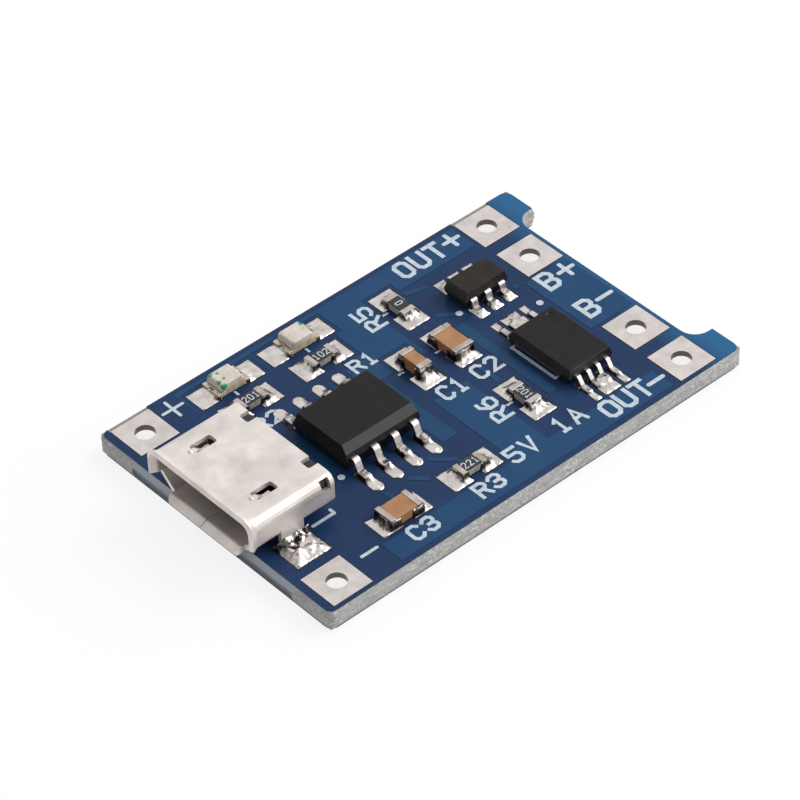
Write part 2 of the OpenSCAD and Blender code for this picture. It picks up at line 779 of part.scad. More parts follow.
// The two halves of the lower lip, each with a round outer corner
module lower_lip() {
    reach = shell_floor_w / 2 - sheet / 2;
    intersection() {
        along_y(shell_floor_w) polygon(rim_path(shell_z + sheet / 2, -1));
        translate([0, 0, board_t - past])
            linear_extrude(shell_h)
                for (s = [0, 1])
                    mirror([0, s])
                        polygon(rounded([[mouth_x - sheet / 4, seam / 2], [tube_x + past, seam / 2],
                            [tube_x + past, reach], [mouth_x - sheet / 4, reach]], [0, 0, 0, lip_r]));
    }
}

// A leg: down from the side wall and out to its land
module leg(s) {
    y = shell_w / 2 - sheet / 2;
    foot_z = board_t + film + sheet / 2;
    translate([leg_x - leg_l / 2, 0, 0])
        along_x(leg_l)
            polygon(ribbon(bent([[s * y, kink_z + 2 * sheet], [s * y, foot_z],
                [s * (y + leg_foot), foot_z]], sheet * 0.9), sheet));
}

// A spring finger in a window of the shell's top
module spring_finger(y) {
    z = shell_top - sheet / 2;
    x = tube_x + window_back;
    translate([0, y, 0])
        along_y(finger[0])
            polygon(ribbon(bent([[x - 0.1, z], [x + 0.15, z], [x + 0.6, z - finger[2]],
                [x + 1.05, z - finger[2] + 0.04]], 0.2), finger[1]));
}

// A block with round corners in plan
module soft_cut(size) {
    linear_extrude(size[2])
        polygon(rounded([[0, 0], [size[0], 0], [size[0], size[1]], [0, size[1]]],
            [cut_r, cut_r, cut_r, cut_r], 4));
}

// What is cut from the shell's tube
module shell_cuts() {
    translate([tube_x - past, 0, 0]) along_x(shell_l + 2 * past) polygon(socket_outline(sheet));
    for (s = [-1, 1]) {
        translate([tube_x + window_back, s * window_y - window[1] / 2, shell_top - 2 * sheet])
            soft_cut([window[0], window[1], past]);
        translate([shell_back - back_notch[0], s * window_y - back_notch[1] / 2, shell_top - 2 * sheet])
            soft_cut([back_notch[0] + past, back_notch[1], past]);
        translate([shell_back - side_window[0] - sheet, s * shell_w / 2 - sheet * 2,
            shell_top - side_window[1] - side_window[2]])
            cube([side_window[0], sheet * 4, side_window[1]]);
        // Slopes beside the floor end ahead of the legs
        translate([leg_x - leg_l / 2, s * shell_w / 2 - past, shell_z - past])
            cube([shell_l, 2 * past, kink_z - shell_z + past]);
    }
    // The floor ends ahead of the housing's block
    translate([block_x - 0.1, -shell_w, shell_z - past])
        cube([shell_l, 2 * shell_w, kink_z - shell_z + past]);
    // Seam of the folded floor
    translate([tube_x - past, -seam / 2, shell_z - past])
        cube([shell_l + 2 * past, seam, 2 * past]);
}

module usb_shell() {
    color("#d9d2ca") {
        difference() {
            translate([tube_x, 0, 0]) along_x(shell_l) polygon(socket_outline(0));
            shell_cuts();
        }
        upper_rim();
        lower_lip();
        for (s = [0, 1])
            mirror([0, s]) {
                corner_rim();
                side_rim();
            }
        for (s = [-1, 1]) {
            leg(s);
            spring_finger(s * window_y);
            translate([tube_x + window_back - bump[0], s * window_y, shell_top - sheet])
                intersection() {
                    translate([0, 0, sheet + bump[1] - bump[0]]) sphere(r = bump[0], $fn = 32);
                    translate([0, 0, past / 2 + eps]) cube(past, center = true);
                }
        }
    }
}

// One contact: along the tongue, down at the back and out to its land
module contact(y) {
    down_x = block_back + contact_t;
    tail_z = board_t + contact_t / 2;
    translate([0, y, 0])
        along_y(contact_w)
            polygon(ribbon(bent([[mouth_x + tongue_in + 0.1, contact_z], [down_x, contact_z],
                [down_x, tail_z], [down_x + contact_tail, tail_z]], contact_t), contact_t));
}

module contact_row() {
    for (i = [-2:2]) contact(i * contact_pitch);
}

module usb_contacts() {
    color("#c9a860") contact_row();
}

module usb_housing() {
    long = block_back - block_x;
    color("#26262a")
        difference() {
            union() {
                intersection() {
                    translate([block_x, 0, 0]) along_x(long) polygon(socket_outline(sheet + block_fit));
                    translate([block_x, -shell_w, board_t]) cube([long, 2 * shell_w, shell_h]);
                }
                // Foot of the block, down to the board
                translate([block_x, -shell_floor_w / 2 + sheet, board_t + ink_t])
                    cube([long, shell_floor_w - 2 * sheet, shell_kink]);
                translate([mouth_x + tongue_in, -tongue_w / 2, tongue_z])
                    cube([block_x - mouth_x, tongue_w, tongue_t]);
            }
            contact_row();
        }
}

// Solder over a leg's foot, highest at the shell
module leg_solder(s) {
    l = leg_land[0] / 2 - film_rim;
    y0 = leg_land_y - leg_land[1] / 2 + film_rim;
    y1 = leg_land_y + leg_land[1] / 2 - film_rim;
    difference() {
        translate([leg_x, 0, board_t])
            intersection() {
                mirror([0, s > 0 ? 0 : 1, 0])
                    translate([-l, 0, 0])
                        along_x(2 * l)
                            polygon(concat([[y0, 0], [y1, 0]], slope([y1, film], [y0, mound_h])));
                along_y(4 * shell_w)
                    polygon([[-l, 0], [l, 0], [l, 0.1], [leg_l / 2 - 0.15, mound_h],
                        [-leg_l / 2 + 0.15, mound_h], [-l, 0.1]]);
            }
        leg(s);
        translate([tube_x, 0, 0]) along_x(shell_l) polygon(socket_outline(0));
    }
}

// Solder around a contact's tail
module tail_solder(y) {
    difference() {
        translate([tail_x, y, board_t])
            linear_extrude(contact_t)
                square([tail_land[0] - 2 * film_rim, tail_land[1] - 2 * film_rim], center = true);
        contact(y);
        translate([block_x, -shell_w, 0]) cube([block_back - block_x, 2 * shell_w, shell_top]);
    }
}

module usb_solder() {
    color("#c9c6c2") {
        for (s = [-1, 1]) leg_solder(s);
        for (i = [-2:2]) tail_solder(i * contact_pitch);
    }
}

// A moulded body of size [l, w, h]: drafted sides, a bevel along its -Y edge
module moulded(size, bevel) {
    l = size[0] / 2;
    w = size[1] / 2;
    part_z = size[2] * exit_share;
    low = draft * (part_z - standoff) / (size[2] - part_z);
    intersection() {
        along_y(size[1] + 2 * past)
            polygon([[-l + low, standoff], [l - low, standoff], [l, part_z], [l - draft, size[2]],
                [-l + draft, size[2]], [-l, part_z]]);
        translate([-l - past, 0, 0])
            along_x(size[0] + 2 * past)
                polygon([[-w + low, standoff], [w - low, standoff], [w, part_z], [w - draft, size[2]],
                    [-w + draft + bevel, size[2]], [-w + draft * 0.4, size[2] - bevel * 1.25], [-w, part_z]]);
    }
}

// One lead on the -Y side, from inside the body down to its foot
module gull(size, pins) {
    w = size[1] / 2;
    t = pins[2];
    tip = -pins[3] / 2;
    foot = tip + pins[4];
    exit_z = size[2] * exit_share;
    knee = -w + (foot + w) * 0.35;
    translate([-pins[1] / 2, 0, 0])
        along_x(pins[1])
            polygon(ribbon(bent([[-w + 0.35, exit_z], [knee, exit_z], [foot, t / 2], [tip, t / 2]],
                t * 0.9), t));
}

module lead_rows(size, pins, count) {
    both_ends()
        for (i = [0:count - 1])
            translate([(i - (count - 1) / 2) * pins[0], 0, 0])
                gull(size, pins);
}

module charger_chip() {
    color("#2b2a2b")
        on_board(charger_at)
            difference() {
                moulded(charger, chip_bevel);
                lead_rows(charger, charger_pins, charger_count);
            }
}

module charger_leads() {
    color("#cfccc8") on_board(charger_at) lead_rows(charger, charger_pins, charger_count);
}

module protector_chip() {
    color("#2a2826")
        on_board(protector_at)
            difference() {
                moulded(protector, slight_bevel);
                lead_rows(protector, protector_pins, protector_count);
            }
}

module protector_leads() {
    color("#cfccc8") on_board(protector_at) lead_rows(protector, protector_pins, protector_count);
}

module switch_chip() {
    mark_at = [switch[0] / 2 - chip_mark[2], switch[1] / 2 - chip_mark[2], switch[2] - chip_mark[1]];
    color("#2b2a2b")
        on_board(switch_at)
            difference() {
                moulded(switch, slight_bevel);
                lead_rows(switch, switch_pins, switch_count);
                translate(mark_at) cylinder(h = past, r = chip_mark[0]);
            }
}

module switch_leads() {
    color("#cfccc8") on_board(switch_at) lead_rows(switch, switch_pins, switch_count);
}

// Solder on one lead's land: a film beside the foot and a hollow slope at its toe
module toe_solder(pins, plan) {
    inner = plan[2] - plan[1] + film_rim;
    outer = plan[2] - film_rim;
    tip = pins[3] / 2;
    wide = plan[0] - 2 * film_rim;
    high = pins[2] * toe_climb;
    difference() {
        translate([-wide / 2, -outer, 0]) cube([wide, outer - inner, film]);
        translate([-pins[1] / 2, -tip, -past]) cube([pins[1], tip, 2 * past]);
    }
    translate([-pins[1] / 2, 0, 0])
        along_x(pins[1])
            polygon(concat([[-tip, 0], [-outer, 0]], slope([-outer, film], [-tip, high])));
}

module solder_rows(pins, plan, count) {
    both_ends()
        for (i = [0:count - 1])
            translate([(i - (count - 1) / 2) * pins[0], 0, 0])
                toe_solder(pins, plan);
}

module charger_solder() {
    color("#d2cfcb") on_board(charger_at) solder_rows(charger_pins, charger_land, charger_count);
}

module protector_solder() {
    color("#d2cfcb") on_board(protector_at) solder_rows(protector_pins, protector_land, protector_count);
}

module switch_solder() {
    color("#d2cfcb") on_board(switch_at) solder_rows(switch_pins, switch_land, switch_count);
}

// Metal ends wrapped round a block of size [l, w, h]
module metal_ends(size) {
    l = size[0];
    w = size[1];
    both_ends()
        difference() {
            translate([l / 2 - cap_end, -w / 2, 0]) cube([cap_end, w, size[2]]);
            translate([l / 2 - cap_end - past, -w / 2 + end_t, end_t])
                cube([cap_end + past - end_t, w - 2 * end_t, size[2] - 2 * end_t]);
        }
}

module core_block(size) {
    translate([-size[0] / 2 + end_t, -size[1] / 2 + end_t, end_t])
        cube([size[0] - 2 * end_t, size[1] - 2 * end_t, size[2] - 2 * end_t]);
}

resistor = [small_chip[0], small_chip[1], resistor_h];
small_cap = [small_chip[0], small_chip[1], small_cap_h];
large_cap = [large_chip[0], large_chip[1], large_cap_h];
lamp = [large_chip[0], large_chip[1], lamp_base_h];

// The dark glaze on top of a resistor, half sunk in its ceramic
module glaze() {
    l = resistor[0] - 2 * cap_end - 2 * glaze_gap;
    translate([-l / 2, -resistor[1] / 2 + end_t, resistor_h - end_t - glaze_t / 2])
        cube([l, resistor[1] - 2 * end_t, glaze_t]);
}

module resistor_ceramic(p) {
    color("#a8a096")
        at(p)
            difference() {
                core_block(resistor);
                glaze();
            }
}

module resistor_coat(p) {
    color("#1c1b1c") at(p) glaze();
}

module resistor_ends(p) {
    color("#cdbfb6") at(p) metal_ends(resistor);
}

module r1_ceramic() { resistor_ceramic(r1); }
module r2_ceramic() { resistor_ceramic(r2); }
module r3_ceramic() { resistor_ceramic(r3); }
module r5_ceramic() { resistor_ceramic(r5); }
module r6_ceramic() { resistor_ceramic(r6); }
module r1_coat() { resistor_coat(r1); }
module r2_coat() { resistor_coat(r2); }
module r3_coat() { resistor_coat(r3); }
module r5_coat() { resistor_coat(r5); }
module r6_coat() { resistor_coat(r6); }
module r1_ends() { resistor_ends(r1); }
module r2_ends() { resistor_ends(r2); }
module r3_ends() { resistor_ends(r3); }
module r5_ends() { resistor_ends(r5); }
module r6_ends() { resistor_ends(r6); }

module capacitor_body(p, size) {
    color("#c08a5c") at(p) core_block(size);
}

module capacitor_ends(p, size) {
    color("#cfc6be") at(p) metal_ends(size);
}

module c1_body() { capacitor_body(c1, small_cap); }
module c2_body() { capacitor_body(c2, large_cap); }
module c3_body() { capacitor_body(c3, large_cap); }
module c1_ends() { capacitor_ends(c1, small_cap); }
module c2_ends() { capacitor_ends(c2, large_cap); }
module c3_ends() { capacitor_ends(c3, large_cap); }

// A lamp's base with half-round bites in its ends
module lamp_base(p) {
    color("#c9ab84")
        at(p)
            difference() {
                translate([-lamp[0] / 2, -lamp[1] / 2, end_t])
                    cube([lamp[0], lamp[1], lamp_base_h - 2 * end_t]);
                for (s = [-1, 1])
                    translate([s * lamp[0] / 2, 0, -eps]) cylinder(h = lamp_base_h + 2 * eps, r = bite_r);
            }
}

// A lamp's metal ends: a sheet above and below its base, joined in the bite
module lamp_ends(p) {
    color("#cdb27c")
        at(p)
            both_ends()
                difference() {
                    union() {
                        for (z = [0, lamp_base_h - end_t])
                            translate([lamp[0] / 2 - lamp_end, -lamp[1] / 2, z])
                                cube([lamp_end, lamp[1], end_t]);
                        intersection() {
                            translate([lamp[0] / 2, 0, 0]) cylinder(h = lamp_base_h, r = bite_r);
                            translate([0, -lamp[1] / 2, 0]) cube([lamp[0] / 2, lamp[1], lamp_base_h]);
                        }
                    }
                    translate([lamp[0] / 2, 0, -eps])
                        cylinder(h = lamp_base_h + 2 * eps, r = bite_r - end_t);
                }
}

// A lamp's lens, sloped at its ends and sides
module lamp_lens(p) {
    l = lamp[0] / 2 - lamp_end;
    w = lamp[1] / 2;
    top = lens_h + end_t;
    color("#ddd2c2")
        at(p)
            translate([0, 0, lamp_base_h - end_t])
                intersection() {
                    along_y(lamp[1])
                        polygon([[-l, 0], [l, 0], [l - lens_slope[0], top], [-l + lens_slope[0], top]]);
                    translate([-l, 0, 0])
                        along_x(2 * l)
                            polygon([[-w, 0], [w, 0], [w - lens_slope[1], top], [-w + lens_slope[1], top]]);
                }
}

module led1_base() { lamp_base(led1); }
module led1_lens() { lamp_lens(led1); }
module led1_ends() { lamp_ends(led1); }
module led2_base() { lamp_base(led2); }
module led2_lens() { lamp_lens(led2); }
module led2_ends() { lamp_ends(led2); }

// Solder on one land of a chip of size [l, w, h]: a film, and a hollow slope up its end
module end_solder(size, span, wide) {
    l = size[0] / 2;
    w = size[1] / 2;
    outer = span / 2 - film_rim;
    inner = span / 2 - land_l + film_rim;
    edge = wide / 2 - film_rim;
    high = size[2] * climb;
    difference() {
        union() {
            translate([inner, -edge, 0]) cube([outer - inner, 2 * edge, film]);
            intersection() {
                along_y(wide)
                    polygon(concat([[l - cap_end, 0], [outer, 0]], slope([outer, film], [l, high]),
                        [[l - cap_end, high]]));
                along_x(span)
                    polygon(concat([[-edge, 0], [edge, 0]], slope([edge, film], [w, high]),
                        [for (q = [6:-1:0]) slope([-edge, film], [-w, high], 6)[q]]));
            }
        }
        translate([-l, -w, -past]) cube([2 * l, 2 * w, size[2] + 2 * past]);
    }
}

module pair_solder(p, size, span, wide) {
    at(p) both_ends() end_solder(size, span, wide);
}

module chip_solder() {
    color("#d2cfcb") {
        for (p = RESISTORS) pair_solder(p, resistor, lands_l, land_w);
        for (p = SMALL_CAPS) pair_solder(p, small_cap, lands_l, land_w);
        for (p = LARGE_CAPS) pair_solder(p, large_cap, lands_l, land_w);
        for (p = LAMPS) pair_solder(p, lamp, lamp_lands_l, lamp_land_w);
    }
}

board_core();
copper_top();
copper_bottom();
mask_top();
mask_bottom();
silkscreen();
component_lands();
vias();
in_plus_pad();
in_minus_pad();
out_plus_pad();
out_minus_pad();
b_plus_pad();
b_minus_pad();
usb_shell();
usb_housing();
usb_contacts();
usb_solder();
charger_chip();
charger_leads();
charger_solder();
protector_chip();
protector_leads();
protector_solder();
switch_chip();
switch_leads();
switch_solder();
r1_ceramic();
r1_coat();
r1_ends();
r2_ceramic();
r2_coat();
r2_ends();
r3_ceramic();
r3_coat();
r3_ends();
r5_ceramic();
r5_coat();
r5_ends();
r6_ceramic();
r6_coat();
r6_ends();
c1_body();
c1_ends();
c2_body();
c2_ends();
c3_body();
c3_ends();
led1_base();
led1_lens();
led1_ends();
led2_base();
led2_lens();
led2_ends();
chip_solder();
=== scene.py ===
"""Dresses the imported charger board: finishes, solder, print, floor, light and camera."""

import json
import math

import bmesh
import bpy
from mathutils import Matrix, Vector, noise


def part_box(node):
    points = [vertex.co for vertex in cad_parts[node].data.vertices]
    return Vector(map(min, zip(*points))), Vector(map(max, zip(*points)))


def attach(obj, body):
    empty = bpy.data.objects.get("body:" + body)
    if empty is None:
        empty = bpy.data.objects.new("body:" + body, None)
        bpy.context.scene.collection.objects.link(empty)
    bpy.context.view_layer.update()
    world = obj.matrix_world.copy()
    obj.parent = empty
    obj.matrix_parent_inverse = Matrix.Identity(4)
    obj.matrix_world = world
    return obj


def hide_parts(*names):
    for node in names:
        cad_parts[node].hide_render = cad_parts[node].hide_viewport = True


MM = 0.001
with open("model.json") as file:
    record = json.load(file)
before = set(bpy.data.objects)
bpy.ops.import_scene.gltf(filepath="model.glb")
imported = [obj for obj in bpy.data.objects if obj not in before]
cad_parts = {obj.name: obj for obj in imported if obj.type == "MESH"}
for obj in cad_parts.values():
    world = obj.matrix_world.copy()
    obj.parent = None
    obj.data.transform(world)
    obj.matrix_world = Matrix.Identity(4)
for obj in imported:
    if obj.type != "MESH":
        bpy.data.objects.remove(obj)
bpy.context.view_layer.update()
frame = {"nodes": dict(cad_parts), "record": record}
NODES = frame["nodes"]

# Height of the lands' top face, and of the lacquer's two levels, in millimetres
BOARD_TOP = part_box("out_plus_pad")[1].z / MM
COPPER_STEP = 0.008

# View of the photograph: degrees, millimetres, and pixels of an 800 pixel frame
VIEW_AZIMUTH = -40.361
VIEW_ELEVATION = 42.061
VIEW_ROLL = -2.267
VIEW_DISTANCE = 201.89
VIEW_TARGET = Vector((-1.0968, 0.5003, BOARD_TOP - 0.3098))
FOCAL_PIXELS = 4079.77
FRAME_PIXELS = 800.0
SENSOR = 36.0


def camera_axes():
    """Right, up and back of the photograph's camera."""
    azimuth = math.radians(VIEW_AZIMUTH)
    elevation = math.radians(VIEW_ELEVATION)
    back = Vector((math.sin(azimuth) * math.cos(elevation),
                   -math.cos(azimuth) * math.cos(elevation), math.sin(elevation)))
    level = Vector((math.cos(azimuth), math.sin(azimuth), 0.0))
    roll = Matrix.Rotation(math.radians(VIEW_ROLL), 3, back)
    right = roll @ level
    return right, back.cross(right), back


def make_camera():
    right, up, back = camera_axes()
    data = bpy.data.cameras.new("view")
    data.sensor_width = SENSOR
    data.lens = FOCAL_PIXELS * SENSOR / FRAME_PIXELS
    data.clip_start = 0.01
    camera = bpy.data.objects.new("view", data)
    turn = Matrix((right, up, back)).transposed().to_4x4()
    place = (VIEW_TARGET + back * VIEW_DISTANCE) * MM
    camera.matrix_world = Matrix.Translation(place) @ turn
    bpy.context.scene.collection.objects.link(camera)
    bpy.context.scene.camera = camera


def new_material(name):
    """An empty material with its node tree, surface shader and output."""
    material = bpy.data.materials.new(name)
    material.use_nodes = True
    tree = material.node_tree
    return material, tree, tree.nodes["Principled BSDF"]


def add(tree, kind, inputs=(), **settings):
    """A node with its settings and its input values or links."""
    node = tree.nodes.new(kind)
    for key, value in settings.items():
        setattr(node, key, value)
    for key, value in dict(inputs).items():
        plug(tree, node, key, value)
    return node


def plug(tree, node, key, value):
    """Sets an input, or links it where the value is another node's output."""
    if isinstance(value, bpy.types.NodeSocket):
        tree.links.new(value, node.inputs[key])
    else:
        node.inputs[key].default_value = value


def place(tree):
    """Coordinates on the object, in metres."""
    return add(tree, "ShaderNodeTexCoord").outputs["Object"]


def grain(tree, size, detail=3.0, roughness=0.55, stretch=(1.0, 1.0, 1.0)):
    """Noise of a feature size in millimetres, from 0 to 1."""
    mapped = add(tree, "ShaderNodeMapping", {"Vector": place(tree), "Scale": stretch})
    return add(tree, "ShaderNodeTexNoise", {
        "Vector": mapped.outputs["Vector"], "Scale": 1.0 / (size * MM), "Detail": detail,
        "Roughness": roughness}).outputs["Fac"]


def ranged(tree, value, low, high, floor=0.0, ceiling=1.0):
    """A value between low and high, spread over floor to ceiling."""
    return add(tree, "ShaderNodeMapRange", {
        "Value": value, "From Min": low, "From Max": high,
        "To Min": floor, "To Max": ceiling}).outputs["Result"]


def blend(tree, factor, a, b):
    """Colour a where factor is 0, b where it is 1."""
    node = add(tree, "ShaderNodeMix", data_type="RGBA")
    plug(tree, node, 0, factor)
    plug(tree, node, 6, a)
    plug(tree, node, 7, b)
    return node.outputs[2]


def bumped(tree, shader, height, depth, strength=1.0):
    """Relief of a depth in millimetres."""
    bump = add(tree, "ShaderNodeBump", {
        "Height": height, "Distance": depth * MM, "Strength": strength})
    plug(tree, shader, "Normal", bump.outputs["Normal"])


def rgb(code):
    """A colour in linear light from its six hexadecimal digits."""
    parts = [int(code[i:i + 2], 16) / 255.0 for i in (0, 2, 4)]
    linear = [p / 12.92 if p <= 0.04045 else ((p + 0.055) / 1.055) ** 2.4 for p in parts]
    return (*linear, 1.0)


def finish(name, dark, light, size, rough, depth, metallic=0.0, detail=3.0):
    """A surface whose colour, roughness and relief all follow noise of one size."""
    material, tree, shader = new_material(name)
    coarse = grain(tree, size, detail)
    fine = grain(tree, size / 4.0, detail)
    plug(tree, shader, "Base Color", blend(tree, ranged(tree, coarse, 0.3, 0.7), rgb(dark), rgb(light)))
    plug(tree, shader, "Roughness", ranged(tree, fine, 0.3, 0.7, *rough))
    plug(tree, shader, "Metallic", metallic)
    bumped(tree, shader, fine, depth)
    return material, tree, shader


def height_mask(tree, level):
    """1 above a height in millimetres and 0 below it."""
    split = add(tree, "ShaderNodeSeparateXYZ", {"Vector": place(tree)})
    return add(tree, "ShaderNodeMath", {0: split.outputs["Z"], 1: level * MM},
               operation="GREATER_THAN").outputs[0]


def faces_up(tree, steep=0.4, level=0.8):
    """1 on faces that look up, 0 on the others, by the height of their normal."""
    normal = add(tree, "ShaderNodeNewGeometry").outputs["Normal"]
    split = add(tree, "ShaderNodeSeparateXYZ", {"Vector": normal})
    return ranged(tree, split.outputs["Z"], steep, level)


# Places along the board, in millimetres, from which the bare laminate's blue turns lighter
EAR_START = 10.9
EAR_FULL = 12.9


def lacquer():
    """Blue lacquer: bluer over copper, greyer over laminate, lighter on the ears, softly glossy."""
    material, tree, shader = new_material("lacquer")
    mottle = ranged(tree, grain(tree, 2.2), 0.3, 0.7)
    over_copper = blend(tree, mottle, rgb("1c4166"), rgb("20466b"))
    along = add(tree, "ShaderNodeSeparateXYZ", {"Vector": place(tree)}).outputs["X"]
    ear = ranged(tree, along, EAR_START * MM, EAR_FULL * MM)
    plain = blend(tree, mottle, rgb("1c3255"), rgb("20385d"))
    over_bare = blend(tree, ear, plain, rgb("265d88"))
    colour = blend(tree, height_mask(tree, BOARD_TOP - COPPER_STEP), over_bare, over_copper)
    fine = grain(tree, 0.12)
    plug(tree, shader, "Base Color", colour)
    plug(tree, shader, "Roughness", ranged(tree, fine, 0.3, 0.7, 0.24, 0.34))
    plug(tree, shader, "Specular IOR Level", 0.12)
    bumped(tree, shader, grain(tree, 0.5), 0.003)
    return material


# Half width of the milled stretch of the input end, its place along the board, and the
# heights between which its painted shade turns into a painted lit strip, in millimetres
MILLED_HALF = 5.95
MILLED_END = -13.2
MILLED_SHADE_SPAN = (0.35, 0.85)


def milled(tree):
    """1 on the milled stretch of the board's end, 0 elsewhere, and the stretch's colour: painted shade low down and a
    painted lit strip at the top.
    """
    split = add(tree, "ShaderNodeSeparateXYZ", {"Vector": place(tree)})
    across = add(tree, "ShaderNodeMath", {0: split.outputs["Y"]}, operation="ABSOLUTE").outputs[0]
    within = add(tree, "ShaderNodeMath", {0: across, 1: MILLED_HALF * MM}, operation="LESS_THAN").outputs[0]
    at_end = add(tree, "ShaderNodeMath", {0: split.outputs["X"], 1: MILLED_END * MM}, operation="LESS_THAN").outputs[0]
    share = add(tree, "ShaderNodeMath", {0: within, 1: at_end}, operation="MULTIPLY").outputs[0]
    low, high = MILLED_SHADE_SPAN
    # Painted shade and highlight: dark grey low on the milled end, light grey on its top strip, by height
    tone = blend(tree, ranged(tree, split.outputs["Z"], low * MM, high * MM), rgb("5b6067"), rgb("a2aab2"))
    return share, tone


def fibreglass():
    """Laminate: grey and speckled where it was snapped, tan where it shows on top."""
    material, tree, shader = new_material("fibreglass")
    speck = grain(tree, 0.16, detail=5.0, roughness=0.75)
    weave = grain(tree, 0.35, stretch=(0.35, 0.35, 3.0))
    grey = blend(tree, ranged(tree, speck, 0.35, 0.62), rgb("777776"), rgb("d0d0ce"))
    side = blend(tree, ranged(tree, weave, 0.35, 0.65), grey, rgb("9b9a98"))
    # The milled stretch takes painted shade below and a painted lit strip above
    share, tone = milled(tree)
    side = blend(tree, share, side, tone)
    colour = blend(tree, faces_up(tree), side, rgb("8d8577"))
    plug(tree, shader, "Base Color", colour)
    plug(tree, shader, "Roughness", ranged(tree, speck, 0.3, 0.7, 0.65, 0.95))
    bumped(tree, shader, speck, 0.03)
    return material


def metal(name, dark, light, rough, size=0.5, depth=0.004):
    """A metal surface with small changes of tone and polish."""
    return finish(name, dark, light, size, rough, depth, metallic=1.0)[0]


def shell_plate():
    """Plated sheet: satin, with fine drawing marks along the socket."""
    material, tree, shader = new_material("shell_plate")
    marks = grain(tree, 0.1, stretch=(0.15, 1.0, 1.0))
    cloud = grain(tree, 1.5)
    plug(tree, shader, "Base Color", blend(tree, ranged(tree, cloud, 0.3, 0.7), rgb("cbc2bc"), rgb("e9e1dc")))
    plug(tree, shader, "Metallic", 0.5)
    plug(tree, shader, "Roughness", ranged(tree, marks, 0.3, 0.7, 0.3, 0.4))
    bumped(tree, shader, marks, 0.0006)
    return material


# Heights over the board, in millimetres, from which dark patches show on solder
DARK_PATCH_FROM = 0.1
DARK_PATCH_FULL = 0.3


def solder():
    """Solder: pale and glossy where it lies flat, dark with painted shade where it stands steep, and with dark patches
    where it climbs high.
    """
    material, tree, shader = new_material("solder")
    cloud = ranged(tree, grain(tree, 0.5), 0.3, 0.7)
    crease = grain(tree, 0.5, detail=1.0)
    pale = blend(tree, cloud, rgb("bfb9b5"), rgb("e6e0dc"))
    above = add(tree, "ShaderNodeSeparateXYZ", {"Vector": place(tree)}).outputs["Z"]
    climbed = ranged(tree, above, (BOARD_TOP + DARK_PATCH_FROM) * MM, (BOARD_TOP + DARK_PATCH_FULL) * MM)
    patches = ranged(tree, grain(tree, 0.3, detail=2.0), 0.44, 0.54)
    dark_patches = add(tree, "ShaderNodeMath", {0: climbed, 1: patches}, operation="MULTIPLY").outputs[0]
    dark_patch_and_shade = rgb("3f3936")
    # Painted shade: steep faces turn dark; the patches where the solder climbs high share the same dark colour
    plug(tree, shader, "Base Color", blend(
        tree, dark_patches, blend(tree, faces_up(tree, 0.45, 0.85), dark_patch_and_shade, pale), dark_patch_and_shade))
    plug(tree, shader, "Metallic", 1.0)
    plug(tree, shader, "Roughness", ranged(tree, cloud, 0.0, 1.0, 0.16, 0.28))
    bumped(tree, shader, crease, 0.09)
    return material


# Depth of the painted shade rim at the top of a pad's hole, in millimetres; below it the hole's wall is painted near
# white as painted light
HOLE_SHADE_DEPTH = 0.34


def tinned_land():
    """Tinned pads and lands: satin on top; on the walls of their holes, a painted shade rim above painted near-white
    light.
    """
    material, tree, shader = new_material("tinned_land")
    cloud = ranged(tree, grain(tree, 0.8), 0.3, 0.7)
    fine = grain(tree, 0.2)
    flat = faces_up(tree)
    top = blend(tree, cloud, rgb("c9c1be"), rgb("dfd7d4"))
    # Painted shade and light: hole walls dark grey near the top, near white and glossy below
    wall = blend(tree, height_mask(tree, BOARD_TOP - HOLE_SHADE_DEPTH), rgb("fdfbfa"), rgb("5a5654"))
    plug(tree, shader, "Base Color", blend(tree, flat, wall, top))
    plug(tree, shader, "Metallic", 1.0)
    satin = ranged(tree, fine, 0.3, 0.7, 0.28, 0.42)
    plug(tree, shader, "Roughness", add(tree, "ShaderNodeMath", {0: satin, 1: ranged(tree, flat, 0.0, 1.0, 0.3, 1.0)},
                                        operation="MULTIPLY").outputs[0])
    bumped(tree, shader, fine, 0.003)
    return material


def chip_mould(name="chip_mould", dark="131112", light="1b1919"):
    """Dark moulded resin: matt on top, glossier on its bevels and sides."""
    material, tree, shader = new_material(name)
    cloud = ranged(tree, grain(tree, 0.5), 0.3, 0.7)
    fine = ranged(tree, grain(tree, 0.125), 0.3, 0.7, 0.3, 0.42)
    top = faces_up(tree, 0.85, 0.97)
    plug(tree, shader, "Base Color", blend(tree, cloud, rgb(dark), rgb(light)))
    plug(tree, shader, "Roughness", add(tree, "ShaderNodeMath", {0: fine, 1: ranged(tree, top, 0.0, 1.0, 0.0, 0.2)},
                                        operation="ADD").outputs[0])
    plug(tree, shader, "Specular IOR Level", ranged(tree, top, 0.0, 1.0, 0.42, 0.2))
    bumped(tree, shader, fine, 0.02)
    return material


def black_plastic():
    return finish("black_plastic", "141416", "222226", 0.4, (0.35, 0.5), 0.004)[0]


def capacitor_ceramic():
    """Brown ceramic."""
    return finish("capacitor_ceramic", "96673f", "ad8058", 0.9, (0.38, 0.55), 0.006)[0]


def ceramic_block():
    return finish("ceramic_block", "8e877f", "b9b2a8", 0.25, (0.55, 0.8), 0.008)[0]


def dark_glaze():
    return finish("dark_glaze", "151315", "231f20", 0.4, (0.25, 0.4), 0.004)[0]


def white_print():
    return finish("print", "a9b6c2", "c6d1da", 0.3, (0.55, 0.75), 0.006)[0]


# Dabs of green on the lamps: share of the lens along X, Y and Z, and radius in millimetres
DABS = {"led1_lens": [((0.94, 0.74, 0.95), 0.3)],
        "led2_lens": [((0.1, 0.86, 1.0), 0.2), ((0.32, 0.74, 1.0), 0.14), ((0.34, 0.34, 1.0), 0.13),
                      ((0.08, 0.3, 0.95), 0.2), ((0.14, 0.03, 0.7), 0.25)]}


